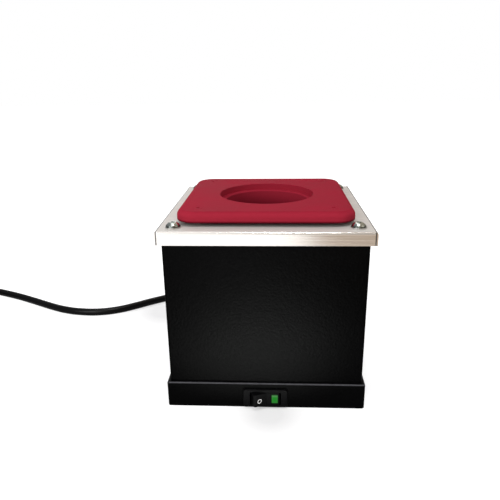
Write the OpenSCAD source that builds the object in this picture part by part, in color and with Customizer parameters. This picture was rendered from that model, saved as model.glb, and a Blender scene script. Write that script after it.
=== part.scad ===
// Electric solder pot: a square sheet steel case, a coated cast top plate with
// a recessed crucible, a lit rocker switch in the base and a mains lead.
// Origin: centre of the underside. X right, Y to the back, Z up. Millimetres.

/* [Case] */
// Width of the sleeve, side to side
sleeve_w = 133.5; // [120:0.5:180]
// Depth of the sleeve, front to back
sleeve_d = 133.5; // [120:0.5:180]
// Height of the sleeve
sleeve_h = 108.8; // [90:0.1:160]
// Sheet thickness of the sleeve
sleeve_t = 1.2; // [0.8:0.1:1.3]
// Outer corner radius of the sleeve
sleeve_r = 1.8; // [1.5:0.1:6]
// How far the base stands out past the sleeve on each side
base_lip = 2.25; // [1:0.25:8]
// Height of the base pan
base_h = 19; // [19:0.5:40]
// Sheet thickness of the base pan and of its bottom plate
base_t = 1.2; // [0.8:0.1:1.3]
// Radius of the base pan's upright corners
base_corner_r = 2; // [1.8:0.1:8]
// Radius of the base pan's top bend
base_bend_r = 1.5; // [1.4:0.1:1.7]
// Gap around the bottom plate
bottom_gap = 0.4; // [0.2:0.1:1]

/* [Cover] */
// How far the cover stands out past the sleeve on each side
cover_lip = 3.5; // [3:0.5:8]
// Sheet thickness of the cover
cover_t = 1.2; // [0.8:0.1:1.6]
// Height of the cover's flange, with its sheet thickness
cover_flange = 9; // [6:0.5:20]
// Outer bend radius of the cover
cover_bend_r = 1.8; // [1.7:0.1:3]
// Open slit between two flanges at each corner
cover_slit = 0.3; // [0.2:0.1:0.8]
// Diameter of the cover's opening for the crucible
cover_hole_d = 85; // [84:1:90]

/* [Top plate] */
// Width and depth of the top plate
plate_w = 118; // [112:1:124]
// Thickness of the top plate
plate_t = 7; // [5:0.5:10]
// Gap between the cover and the top plate
plate_gap = 2.5; // [1:0.5:6]
// Corner radius of the top plate
plate_corner_r = 13.5; // [8:0.5:18]
// Rounding of the top plate's upper edge
plate_edge_r = 4; // [0.5:0.1:4.5]
// Distance between the plate screws, each way
plate_screw_pitch = 90; // [86:1:94]

/* [Crucible] */
// Bore of the crucible
crucible_bore_d = 60.5; // [50:0.5:64]
// Wall of the crucible
crucible_wall = 4.2; // [2:0.1:5]
// Depth of the crucible's cavity
crucible_depth = 53; // [35:1:60]
// Thickness of the crucible's floor
crucible_floor_t = 5; // [3:0.5:7]
// Radius between the crucible's wall and floor, inside
crucible_fillet = 8; // [4:0.5:12]
// How far the rim lies below the top plate's face
rim_drop = 4.5; // [1:0.5:4.5]
// Width and height of the shoulder under the top plate
shoulder = 3; // [2:0.5:4]
// Clearance of the crucible in the top plate
crucible_fit = 0.05; // [0.02:0.01:0.3]

/* [Heater] */
// Height of the band heater
heater_h = 38; // [20:1:40]
// Thickness of the band heater
heater_t = 3.6; // [2:0.1:4]
// Gap between the two ends of the band
heater_gap = 8; // [5:0.5:12]
// Height of the heater's terminals above the crucible's underside
heater_terminal_z = 14; // [12:1:20]
// Angle between the band's gap and each terminal
heater_terminal_angle = 34; // [30:1:40]

/* [Insulation] */
// Outer diameter of the insulated can
can_d = 114; // [110:1:116]
// Sheet thickness of the can
can_t = 0.8; // [0.5:0.1:1.2]
// Thickness of the pad under the crucible
pad_t = 15; // [8:1:18]
// Inner diameter of the fibre blanket
blanket_bore_d = 82; // [80:1:86]
// Angle of the opening in the blanket for the leads
blanket_open_angle = 100; // [90:5:120]
// Diameter of the lead hole in the can
can_hole_d = 22; // [14:1:24]

/* [Fasteners] */
// Distance of each corner post from the sleeve's outer faces
post_inset = 7.2; // [6.5:0.1:12]
// Diameter of the corner posts
post_d = 9; // [7:0.5:10]
// Thread diameter of the post and cover screws
post_screw_d = 5; // [4:1:5]
// Depth of the threaded holes in the posts
post_thread_l = 14; // [12:1:20]
// Head diameter of the domed cover screws
cover_screw_head_d = 9.5; // [9:0.1:10]
// Head height of the cover screws
cover_screw_head_h = 2.8; // [2.2:0.1:3.2]
// Width across the flats of the cover screws' sockets
cover_screw_socket = 3; // [2.5:0.1:3.2]
// Diameter of the cover screws' washers
washer_d = 10.2; // [10:0.1:12]
// Thickness of the washers
washer_t = 0.8; // [0.5:0.1:1.5]
// Thread diameter of the plate screws
plate_screw_d = 4; // [3:0.5:4]
// Head diameter of the plate screws
plate_screw_head_d = 7.5; // [6.5:0.1:8]
// Clearance of every screw in its through hole
screw_clearance = 0.25; // [0.1:0.05:0.4]

/* [Switch] */
// Width of the switch's bezel
bezel_w = 31; // [28:0.5:34]
// Height of the switch's bezel
bezel_h = 14; // [13.5:0.5:15]
// How far the bezel stands out of the base
bezel_t = 2; // [1.5:0.1:3]
// Height of the switch's centre above the underside
switch_z = 8; // [7.2:0.1:8]
// Half the length of the rocker
rocker_reach = 10.4; // [9:0.1:11]
// Height of the rocker
rocker_h = 9.4; // [8:0.1:9.6]
// Swing of the rocker from one side to the other, in degrees
rocker_swing = 24; // [16:1:28]
// Depth of the rocker's axis behind the bezel's face
pivot_depth = 4; // [3.5:0.1:5]
// Diameter of the rocker's two pivot pins
pivot_d = 2.4; // [1.6:0.1:3]
// Running clearance of the pivot pins, on the radius
pivot_fit = 0.05; // [0.02:0.01:0.1]
// Gap between the rocker and its frame
rocker_gap = 0.3; // [0.25:0.05:0.5]
// Width of the lit window in the rocker
lens_w = 4.6; // [3:0.1:6]
// Height of the lit window in the rocker
lens_h = 6.9; // [4:0.1:7.6]

/* [Lead] */
// Diameter of the mains lead
cord_d = 6.6; // [6:0.1:7]
// Length of the tapered strain relief behind the case
relief_l = 28; // [20:1:40]
// Height of the strain relief's axis above the underside
relief_z = 9.5; // [9.5:0.25:12]
// Diameter of the strain relief's collar
relief_collar_d = 16; // [14:0.5:16]
// Diameter of the strain relief's thread
relief_thread_d = 12; // [10:0.5:12]
// Mean diameter of the stored coil
coil_mean_d = 76; // [66:1:79]

/* [Hidden] */
$fn = 64;

tiny = 0.01;
// Length past a face that a cut runs
over = 1;
quarter_turns = [45, 135, 225, 315];

base_w = sleeve_w + 2 * base_lip;
base_d = sleeve_d + 2 * base_lip;
cover_w = sleeve_w + 2 * cover_lip;
cover_d = sleeve_d + 2 * cover_lip;
cover_top_z = base_h + sleeve_h + cover_t;
post_x = sleeve_w / 2 - post_inset;
post_y = sleeve_d / 2 - post_inset;
plate_z = cover_top_z + plate_gap;
plate_top_z = plate_z + plate_t;

crucible_r = crucible_bore_d / 2 + crucible_wall;
rim_z = plate_top_z - rim_drop;
cavity_z = rim_z - crucible_depth;
crucible_z = cavity_z - crucible_floor_t;
shoulder_r = crucible_r + shoulder;

plate_screw_hole_d = plate_screw_d + 2 * screw_clearance;
plate_nut_t = 3.2;
plate_nut_af = 7;
can_top_z = cover_top_z - cover_t;
pad_z = crucible_z - pad_t;
can_z = pad_z - can_t;
can_lug_w = 13;

heater_z = crucible_z + 6;
heater_r = crucible_r + crucible_fit;
heater_ear_l = 9;
heater_ear_t = 1.5;
clamp_screw_d = 4;
clamp_nut_af = 7;
clamp_nut_t = 3.2;
clamp_head_d = 7;
clamp_head_h = 2.6;
bush_d = 7;
bush_l = 3;
stud_d = 3.5;
stud_l = 9;
fibre_gap = 0.2;

base_inner_z = base_h - base_t;
bracket_leg = 12;
bracket_t = 1.5;
bottom_screw_d = 3;
bottom_screw_head_d = 5.6;
bottom_screw_head_h = 1.15;
bottom_screw_l = 6;
bracket_x = base_w / 2 - base_t - bracket_leg;
bracket_y = base_d / 2 - base_t - bracket_leg;
bracket_screw = [6, 4];

strap_w = 16;
seam_gap = 0.4;

face_y = -base_d / 2;
bezel_y = face_y - bezel_t;
pivot_y = bezel_y + pivot_depth;
frame_half_w = rocker_reach + rocker_gap + 0.1;
frame_half_h = rocker_h / 2 + rocker_gap;
housing_w = 27.4;
housing_wall_h = 0.5;
housing_h = 2 * (frame_half_h + housing_wall_h);
housing_depth = 18;
chamber_depth = 9.5;
rocker_back = 3;
rocker_tip_r = 1.8;
lens_t = 1.2;
lens_proud = 0.2;
lens_back_y = lens_t - lens_proud - pivot_depth;
lens_x = 6.5;
lens_r = 0.8;
tab_w = 4.8;
tab_t = 0.8;
tab_l = 8;
tab_pitch = 9;
socket_l = 9;
cutout_gap = 0.2;

relief_y = base_d / 2;
relief_collar_t = 2.5;
relief_end_d = cord_d + 3;
relief_thread_l = 9;
relief_nut_af = 14;
relief_nut_t = 4;
cord_hole_d = cord_d + 0.1;
jacket_end_y = relief_y - 16;

grommet = [26, 50];
grommet_bore_d = 9;
grommet_hole_d = 12;
grommet_flange_d = 15;
grommet_flange_t = 1.2;

block = [-4, 14];
block_d = 18;
block_h = 12;
block_pitch = 10;
block_pole_w = 8;
block_foot_t = 3;
block_screw_x = 18;
block_w = 2 * block_screw_x + 8;
block_bore_d = 4.4;
earth_at = [44, 22];
earth_stud_d = 4;
earth_stud_l = 11;

wire_d = 2.4;
wire_sides = 6;
// Two wires share the middle pole of the block, side by side
pole_wire_x = 1.4;

// Round points by hand: out of the strain relief, down to the table, round to
// the left of the case and on to the coil.
cord_route = [
    [0, 97, 9.5], [0, 102, 9.5], [0, 107.5, 9.5], [-1, 117, 8], [-5, 128, 5.6], [-12, 137, 4],
    [-21, 142.5, 3.4], [-33, 145, 3.4], [-47, 143, 3.4], [-62, 135, 3.4], [-78, 126, 3.4], [-93, 117, 3.4],
    [-107, 108, 3.4], [-121, 98.5, 3.4], [-134, 88.5, 3.4], [-148, 79.5, 3.4],
    [-165, 74, 3.4], [-184, 74, 3.4], [-201, 78, 3.4], [-217, 85, 3.4], [-233, 93.5, 3.4],
    [-249, 102, 3.4], [-264, 109.5, 3.4], [-279, 116, 3.4], [-293.5, 122, 3.4], [-308, 128.5, 3.4],
    [-322, 134.8, 3.4],
];
coil_at = [-341.5, 87.5];
coil_turns_wide = 3;
coil_lift = 0.1;
coil_layers = 2;
plug_lead_route = [[-392, 79, 10], [-390, 68, 10], [-388.5, 58, 10], [-388, 52, 10], [-388, 46, 10]];
cord_sides = 10;

plug_at = [-388, 4];
plug_back_d = 42;
plug_back_h = 15;
plug_face_d = 37.4;
plug_h = 28;
plug_cord_z = 10;
plug_relief_l = 22;
pin_d = 4.8;
pin_l = 19;
pin_pitch = 19;
clip_w = 7;
clip_t = 1;
clip_l = 11;

// ---------------------------------------------------------------- functions

function turned(p, a) = [p.x * cos(a) - p.y * sin(a), p.x * sin(a) + p.y * cos(a)];

function between(a, b, c, d, t) =
    0.5 * (2 * b + (c - a) * t + (2 * a - 5 * b + 4 * c - d) * t ^ 2 + (3 * b - a - 3 * c + d) * t ^ 3);

// The points of a route with more between them, on one smooth curve
function smoothed(route, steps) = [
    for (i = [0:len(route) - 2], k = [0:steps - 1])
        between(route[max(i - 1, 0)], route[i], route[i + 1],
            route[min(i + 2, len(route) - 1)], k / steps),
    route[len(route) - 1],
];

function unit(v) = v / norm(v);

// A rounded corner between the directions of two other points
function eased(corner, a, b, r) =
    let (u = unit(a - corner), v = unit(b - corner))
    [for (t = [0:22.5:90]) corner + r * ((1 - sin(t)) * u + (1 - cos(t)) * v)];

function heading(p, i) = unit(p[min(i + 1, len(p) - 1)] - p[max(i - 1, 0)]);

function ring(p, i, r, sides, guide) =
    let (along = heading(p, i), across = unit(cross(along, guide)), up = cross(across, along))
    [for (k = [0:sides - 1]) p[i] + r * (cos(360 * k / sides) * across + sin(360 * k / sides) * up)];

// ------------------------------------------------------------------ shapes

// A tube along points. The guide is a direction that the tube never takes.
module swept(points, d, sides, guide = [0, 0, 1]) {
    last = len(points) - 1;
    polyhedron(
        [for (i = [0:last]) each ring(points, i, d / 2, sides, guide)],
        concat(
            [[for (k = [0:sides - 1]) k]],
            [for (i = [0:last - 1], k = [0:sides - 1])
                let (a = i * sides + k, b = i * sides + (k + 1) % sides)
                each [[a, a + sides, b], [b, a + sides, b + sides]]],
            [[for (k = [sides - 1:-1:0]) last * sides + k]]));
}

module wire(points, d = wire_d, guide = [0, 0, 1]) {
    swept(smoothed(points, 3), d, wire_sides, guide);
}

module rounded_rect(w, d, r) {
    square([w - 2 * r, d], center = true);
    square([w, d - 2 * r], center = true);
    for (x = [-1, 1], y = [-1, 1])
        translate([x * (w / 2 - r), y * (d / 2 - r)]) circle(r);
}

// Half of a slab's section: square below, its upper outer edge of radius e
module soft_section(run, h, e) {
    square([run - e, h]);
    square([run, h - e]);
    translate([run - e, h - e]) intersection() {
        circle(e, $fn = 32);
        square(e);
    }
}

// A slab with upright corners of radius r and an upper edge of radius e
module soft_slab(w, d, h, r, e) {
    translate([-w / 2 + r, -d / 2 + r, 0]) cube([w - 2 * r, d - 2 * r, h]);
    for (turn = [0:3]) {
        run = turn % 2 == 0 ? d - 2 * r : w - 2 * r;
        reach = (turn % 2 == 0 ? w : d) / 2 - r;
        rotate(90 * turn) translate([reach, -run / 2, 0]) {
            rotate([90, 0, 0]) mirror([0, 0, 1]) linear_extrude(run) soft_section(r, h, e);
            translate([0, run, 0]) rotate_extrude(angle = 90) soft_section(r, h, e);
        }
    }
}

// One folded edge: a flange down from the origin and its bend
module folded_edge(length, h, t, r) {
    rotate([90, 0, 90]) translate([0, 0, -length / 2]) linear_extrude(length) {
        translate([0, -h]) square([t, h - r]);
        intersection() {
            difference() {
                translate([r, -r]) circle(r);
                translate([r, -r]) circle(r - t);
            }
            translate([0, -r]) square(r);
        }
    }
}

module at_posts() {
    for (x = [-1, 1], y = [-1, 1]) translate([x * post_x, y * post_y, 0]) children();
}

module at_plate_screws() {
    for (x = [-1, 1], y = [-1, 1])
        translate([x * plate_screw_pitch / 2, y * plate_screw_pitch / 2, 0]) children();
}

module at_brackets() {
    for (x = [-1, 1], y = [-1, 1])
        translate([x * bracket_x, y * bracket_y, 0])
            mirror([x < 0 ? 1 : 0, 0, 0]) mirror([0, y < 0 ? 1 : 0, 0]) children();
}

module hex(af, h) {
    cylinder(d = af / cos(30), h = h, $fn = 6);
}

module hex_nut(af, h, bore) {
    difference() {
        hex(af, h);
        translate([0, 0, -over]) cylinder(d = bore, h = h + 2 * over);
    }
}

module tube(r_out, r_in, h) {
    difference() {
        cylinder(r = r_out, h = h);
        translate([0, 0, -over]) cylinder(r = r_in, h = h + 2 * over);
    }
}

// A countersunk screw, head down from the origin
module countersunk_screw(d, head_d, head_h, length) {
    translate([0, 0, -head_h]) cylinder(d1 = d, d2 = head_d, h = head_h);
    translate([0, 0, -length]) cylinder(d = d, h = length);
}

// -------------------------------------------------------------------- case

module base_pan() {
    inner_bend = base_bend_r - base_t;
    color("#161616") difference() {
        soft_slab(base_w, base_d, base_h, base_corner_r, base_bend_r);
        translate([0, 0, -over])
            soft_slab(base_w - 2 * base_t, base_d - 2 * base_t, base_inner_z + over,
                base_corner_r - base_t, inner_bend);
        translate([0, face_y, switch_z])
            cube([housing_w + 2 * cutout_gap, 4 * base_t, housing_h + 2 * cutout_gap], center = true);
        translate([0, relief_y, relief_z]) rotate([90, 0, 0])
            cylinder(d = relief_thread_d + 2 * screw_clearance, h = 4 * base_t, center = true);
        translate([grommet.x, grommet.y, base_inner_z - over])
            cylinder(d = grommet_hole_d, h = base_t + 2 * over);
        at_posts() translate([0, 0, base_inner_z - over])
            cylinder(d = post_screw_d + 2 * screw_clearance, h = base_t + 2 * over);
        at_block_screws() translate([0, 0, base_inner_z - over])
            cylinder(d = 3 + 2 * screw_clearance, h = base_t + 2 * over);
    }
}

module bottom_plate() {
    gap = base_t + bottom_gap;
    color("#202020") difference() {
        linear_extrude(base_t) rounded_rect(base_w - 2 * gap, base_d - 2 * gap, base_corner_r - base_t);
        at_brackets() translate([bracket_screw.x, bracket_screw.y, -tiny])
            cylinder(d1 = bottom_screw_head_d, d2 = bottom_screw_d, h = base_t + 2 * tiny);
    }
}

module bottom_brackets() {
    color("#9a9a9a") at_brackets() translate([0, 0, base_t]) difference() {
        union() {
            cube([bracket_leg, bracket_leg - base_corner_r, bracket_t]);
            translate([bracket_leg - bracket_t, 0, 0])
                cube([bracket_t, bracket_leg - base_corner_r, bracket_leg]);
        }
        translate([bracket_screw.x, bracket_screw.y, -over])
            cylinder(d = bottom_screw_d, h = bracket_t + 2 * over);
    }
}

module bottom_screws() {
    color("#b8b8b8") at_brackets() translate([bracket_screw.x, bracket_screw.y, 0])
        rotate([180, 0, 0])
            countersunk_screw(bottom_screw_d - 0.1, bottom_screw_head_d - 0.1,
                bottom_screw_head_h, bottom_screw_l);
}

module sleeve() {
    color("#121212") translate([0, 0, base_h]) difference() {
        linear_extrude(sleeve_h) difference() {
            rounded_rect(sleeve_w, sleeve_d, sleeve_r);
            rounded_rect(sleeve_w - 2 * sleeve_t, sleeve_d - 2 * sleeve_t, sleeve_r - sleeve_t);
            translate([-seam_gap / 2, sleeve_d / 2 - 2 * sleeve_t]) square([seam_gap, 3 * sleeve_t]);
        }
    }
}

// The strip that the sleeve's two ends are spot welded to, inside the back
module seam_strap() {
    color("#2a2a2a") translate([-strap_w / 2, sleeve_d / 2 - 2 * sleeve_t, base_h + cover_t])
        cube([strap_w, sleeve_t, sleeve_h - 2 * cover_t]);
}

module corner_posts() {
    color("#b5b5b5") at_posts() translate([0, 0, base_h]) difference() {
        cylinder(d = post_d, h = sleeve_h);
        translate([0, 0, -over]) cylinder(d = post_screw_d, h = post_thread_l + over);
        translate([0, 0, sleeve_h - post_thread_l]) cylinder(d = post_screw_d, h = post_thread_l + over);
    }
}

module post_screws() {
    head_h = 3;
    color("#b0b0b0") at_posts() {
        translate([0, 0, base_inner_z - head_h]) cylinder(d = 8.6, h = head_h);
        translate([0, 0, base_inner_z]) cylinder(d = post_screw_d - 0.1, h = base_t + post_thread_l - 3);
    }
}

// ------------------------------------------------------------------- cover

module cover() {
    flange_w = cover_w - 2 * (cover_t + cover_slit);
    color("#c8c4c0") translate([0, 0, cover_top_z]) difference() {
        union() {
            translate([0, 0, -cover_t / 2])
                cube([cover_w - 2 * cover_bend_r, cover_d - 2 * cover_bend_r, cover_t], center = true);
            for (side = [0, 180]) rotate(side) {
                translate([0, -cover_d / 2, 0])
                    folded_edge(flange_w, cover_flange, cover_t, cover_bend_r);
                rotate(90) translate([0, -cover_w / 2, 0])
                    folded_edge(cover_d, cover_flange, cover_t, cover_bend_r);
            }
        }
        translate([0, 0, -cover_t - over]) {
            cylinder(d = cover_hole_d, h = cover_t + 2 * over);
            at_posts() cylinder(d = post_screw_d + 2 * screw_clearance, h = cover_t + 2 * over);
            at_plate_screws() cylinder(d = plate_screw_hole_d, h = cover_t + 2 * over);
        }
    }
}

module cover_washers() {
    color("#cfcfcf") at_posts() translate([0, 0, cover_top_z])
        tube(washer_d / 2, post_screw_d / 2 + screw_clearance, washer_t);
}

// Domed socket heads: a sphere's cap over a short upright rim
module cover_screws() {
    head_z = cover_top_z + washer_t;
    rim_h = 0.5;
    flat_drop = 0.4;
    socket_depth = 1.6;
    dome_h = cover_screw_head_h + flat_drop - rim_h;
    dome_r = (dome_h ^ 2 + (cover_screw_head_d / 2) ^ 2) / (2 * dome_h);
    shank_l = cover_t + washer_t + post_thread_l - 3;
    color("#dcdcdc") at_posts() {
        translate([0, 0, head_z]) difference() {
            intersection() {
                cylinder(d = cover_screw_head_d, h = cover_screw_head_h);
                translate([0, 0, rim_h + dome_h - dome_r]) sphere(dome_r);
            }
            translate([0, 0, cover_screw_head_h - socket_depth])
                hex(cover_screw_socket, socket_depth + over);
        }
        translate([0, 0, head_z - shank_l]) cylinder(d = post_screw_d - 0.1, h = shank_l + tiny);
    }
}

// --------------------------------------------------------------- top plate

module top_plate() {
    head_h = (plate_screw_head_d - plate_screw_d) / 2;
    color("#9c2540") difference() {
        translate([0, 0, plate_z]) soft_slab(plate_w, plate_w, plate_t, plate_corner_r, plate_edge_r);
        translate([0, 0, plate_z - over]) cylinder(r = crucible_r + crucible_fit, h = plate_t + 2 * over);
        at_plate_screws() {
            translate([0, 0, plate_z - over]) cylinder(d = plate_screw_hole_d, h = plate_t + 2 * over);
            translate([0, 0, plate_top_z - head_h])
                cylinder(d1 = plate_screw_d, d2 = plate_screw_head_d + tiny, h = head_h + tiny);
        }
    }
}

// A turned pot with a shoulder that is welded to the underside of the plate
module crucible() {
    bore_r = crucible_bore_d / 2;
    rim_r = 0.6;
    color("#86203a") rotate_extrude() difference() {
        polygon([
            [0, crucible_z], [crucible_r, crucible_z], [crucible_r, plate_z - shoulder],
            [shoulder_r, plate_z - shoulder / 2], [shoulder_r, plate_z], [crucible_r, plate_z],
            [crucible_r, rim_z], [0, rim_z],
        ]);
        translate([0, cavity_z + crucible_fillet]) square([bore_r, crucible_depth]);
        translate([0, cavity_z]) square([bore_r - crucible_fillet, crucible_depth]);
        intersection() {
            translate([bore_r - crucible_fillet, cavity_z + crucible_fillet]) circle(crucible_fillet);
            translate([0, cavity_z]) square([bore_r, crucible_fillet]);
        }
        translate([bore_r - tiny, rim_z - rim_r])
            polygon([[0, 0], [rim_r, rim_r + tiny], [0, rim_r + tiny]]);
    }
}

module plate_screws() {
    head_h = (plate_screw_head_d - plate_screw_d) / 2;
    length = plate_t + plate_gap + cover_t + can_t + plate_nut_t + 1;
    color("#9c2540") at_plate_screws() translate([0, 0, plate_top_z]) difference() {
        countersunk_screw(plate_screw_d - 0.1, plate_screw_head_d - 0.1, head_h, length);
        translate([0, 0, -0.8]) hex(2.5, 2);
    }
}

module plate_spacers() {
    color("#e8e4da") at_plate_screws() translate([0, 0, cover_top_z])
        tube(5, plate_screw_hole_d / 2, plate_gap);
}

module plate_nuts() {
    color("#b8b8b8") at_plate_screws() translate([0, 0, can_top_z - can_t - plate_nut_t])
        hex_nut(plate_nut_af, plate_nut_t, plate_screw_d);
}

// -------------------------------------------------------------- insulation

// A spun can with four lugs that hang it from the plate screws
module insulation_can() {
    lug_reach = plate_screw_pitch / sqrt(2) + can_lug_w / 2;
    color("#a9a9a4") difference() {
        union() {
            translate([0, 0, can_z]) cylinder(d = can_d, h = can_top_z - can_t / 2 - can_z);
            for (a = quarter_turns) rotate(a) translate([0, -can_lug_w / 2, can_top_z - can_t])
                cube([lug_reach, can_lug_w, can_t]);
        }
        translate([0, 0, pad_z]) cylinder(d = can_d - 2 * can_t, h = can_top_z - pad_z + over);
        translate([0, can_d / 2, heater_z + heater_terminal_z]) rotate([90, 0, 0])
            cylinder(d = can_hole_d, h = can_d / 2, center = true);
        at_plate_screws() translate([0, 0, can_top_z - can_t - over])
            cylinder(d = plate_screw_hole_d, h = can_t + 2 * over);
    }
}

module insulation_blanket() {
    outer_r = can_d / 2 - can_t - fibre_gap;
    top_z = can_top_z - can_t - fibre_gap;
    open = blanket_open_angle / 2;
    reach = 2 * outer_r;
    color("#efece2") translate([0, 0, crucible_z]) difference() {
        cylinder(r = outer_r, h = top_z - crucible_z);
        translate([0, 0, -over]) cylinder(d = blanket_bore_d, h = top_z - crucible_z + 2 * over);
        translate([0, 0, -over]) linear_extrude(top_z - crucible_z + 2 * over)
            polygon([
                [0, 0], turned([reach, 0], 90 - open),
                turned([reach, 0], 90), turned([reach, 0], 90 + open),
            ]);
    }
}

module insulation_pad() {
    color("#efece2") translate([0, 0, pad_z]) cylinder(r = can_d / 2 - can_t - fibre_gap, h = pad_t);
}

// ------------------------------------------------------------------ heater

// A mica band with two ears that a pair of bolts draws together
module band_heater() {
    outer_r = heater_r + heater_t;
    color("#c2b9a0") translate([0, 0, heater_z]) {
        difference() {
            tube(outer_r, heater_r, heater_h);
            translate([-heater_gap / 2, 0, -over]) cube([heater_gap, 2 * outer_r, heater_h + 2 * over]);
        }
        for (s = [-1, 1]) difference() {
            translate([(s * (heater_gap + heater_ear_t) - heater_ear_t) / 2, heater_r + heater_t / 2, 0])
                cube([heater_ear_t, heater_t / 2 + heater_ear_l, heater_h]);
            at_clamps()
            cylinder(d = clamp_screw_d + 2 * screw_clearance, h = 3 * heater_gap, center = true);
        }
    }
}

// The two clamp axes, seen from the heater's lower edge, along X
module at_clamps() {
    for (z = [0.22, 0.78])
        translate([0, heater_r + heater_t + heater_ear_l / 2 + 0.5, z * heater_h])
            rotate([0, 90, 0]) children();
}

module clamp_bolts() {
    half = heater_gap / 2 + heater_ear_t;
    color("#b8b8b8") translate([0, 0, heater_z]) at_clamps() {
        translate([0, 0, -half - clamp_head_h]) cylinder(d = clamp_head_d, h = clamp_head_h);
        translate([0, 0, -half - tiny])
            cylinder(d = clamp_screw_d - 0.1, h = 2 * half + clamp_nut_t + 1.5);
    }
}

module clamp_nuts() {
    color("#b8b8b8") translate([0, 0, heater_z]) at_clamps()
        translate([0, 0, heater_gap / 2 + heater_ear_t]) hex_nut(clamp_nut_af, clamp_nut_t, clamp_screw_d);
}

module at_heater_terminals() {
    for (a = [90 - heater_terminal_angle, 90 + heater_terminal_angle])
        translate([0, 0, heater_z + heater_terminal_z]) rotate(a)
            translate([heater_r + heater_t - 0.4, 0, 0]) rotate([0, 90, 0]) children();
}

module heater_bushes() {
    color("#f3efe6") at_heater_terminals() difference() {
        translate([0, 0, 0.4]) cylinder(d = bush_d, h = bush_l);
        cylinder(d = stud_d, h = 3 * bush_l);
    }
}

module heater_studs() {
    color("#c9a24a") at_heater_terminals() {
        translate([0, 0, 0.4]) cylinder(d = stud_d - 0.1, h = stud_l);
        translate([0, 0, 0.4 + bush_l]) hex(6, 2.4);
    }
}

// Glass-sleeved leads from the heater down the back of the can to the block
module heater_leads() {
    tip_r = heater_r + heater_t + stud_l;
    tip_z = heater_z + heater_terminal_z;
    back_y = (can_d / 2 + sleeve_d / 2 - sleeve_t) / 2;
    color("#e6dfc8") for (s = [-1, 1]) {
        tip = turned([tip_r, 0], 90 - s * heater_terminal_angle);
        near = turned([tip_r + 2, 0], 90 - s * heater_terminal_angle);
        clear = turned([tip_r + 4, 0], 90 - s * heater_terminal_angle);
        pole_x = block.x + (s > 0 ? block_pitch : pole_wire_x);
        wire([
            [tip.x, tip.y, tip_z], [near.x, near.y, tip_z], [clear.x, clear.y, tip_z],
            [s * 17, can_d / 2 - 8, tip_z - 1], [s * 6, can_d / 2 - 2, tip_z - 3],
            [s * 4 + 6, back_y, tip_z - 9], [s * 3 + 15, back_y, tip_z - 24],
            [s * 2 + 22, back_y - 2, base_h + 20], [s * 1.5 + grommet.x, grommet.y - s * 1.5, base_h + 6],
            [s * 1.5 + grommet.x, grommet.y - s * 1.5, base_inner_z - 2],
            [s * 2.5 + grommet.x - 2, grommet.y - 5 - s * 2.5, base_inner_z - 8],
            [pole_x + 8, block.y + block_d / 2 + 14, block_wire_z],
            [pole_x, block.y + block_d / 2 + 4, block_wire_z],
            [pole_x, block.y + block_d / 2, block_wire_z],
        ], wire_d, [1, 0.2, 0]);
    }
}

module wire_grommet() {
    color("#1a1a1a") translate([grommet.x, grommet.y, base_inner_z - grommet_flange_t]) rotate_extrude()
        difference() {
            union() {
                translate([grommet_bore_d / 2, 0])
                    square([(grommet_hole_d - grommet_bore_d) / 2, base_t + 2 * grommet_flange_t]);
                for (z = [0, base_t + grommet_flange_t]) translate([grommet_bore_d / 2, z])
                    square([(grommet_flange_d - grommet_bore_d) / 2, grommet_flange_t]);
            }
        }
}

// ---------------------------------------------------------- terminal block

block_wire_z = base_inner_z - block_h + 4;

module at_block_screws() {
    for (x = [-1, 1]) translate([block.x + x * block_screw_x, block.y, 0]) children();
}

module at_poles() {
    for (i = [-1:1]) translate([block.x + i * block_pitch, block.y, 0]) children();
}

module terminal_block() {
    color("#ece8dc") difference() {
        union() {
            translate([block.x - block_w / 2, block.y - block_d / 2, base_inner_z - block_foot_t])
                cube([block_w, block_d, block_foot_t]);
            at_poles() translate([-block_pole_w / 2, -block_d / 2, base_inner_z - block_h])
                cube([block_pole_w, block_d, block_h]);
        }
        at_poles() {
            translate([0, 0, block_wire_z]) rotate([90, 0, 0])
                cylinder(d = block_bore_d, h = block_d + over, center = true);
            for (y = [-1, 1]) translate([0, y * block_d / 4, base_inner_z - block_h - over])
                cylinder(d = 3.4, h = 4 + over);
        }
        at_block_screws() translate([0, 0, base_inner_z - block_foot_t - over])
            cylinder(d = 3 + 2 * screw_clearance, h = block_foot_t + 2 * over);
    }
}

// Brass sleeves in the block's bores and the grub screws that clamp the wires
module terminal_screws() {
    color("#c9a24a") at_poles() {
        translate([0, -block_d / 2 + 2, block_wire_z]) rotate([-90, 0, 0])
            tube(block_bore_d / 2 - 0.1, block_bore_d / 2 - 0.9, block_d - 4);
        for (y = [-1, 1]) translate([0, y * block_d / 4, base_inner_z - block_h + 0.6])
            cylinder(d = 3, h = 1.3);
    }
}

module block_screws() {
    color("#b8b8b8") at_block_screws() {
        translate([0, 0, base_h]) cylinder(d = 5.5, h = 1.8);
        translate([0, 0, base_inner_z - 6]) cylinder(d = 2.9, h = base_t + 6 + tiny);
        translate([0, 0, base_inner_z - block_foot_t - 2.4]) hex_nut(5.5, 2.4, 2.9);
    }
}

// ------------------------------------------------------------------ switch

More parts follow.
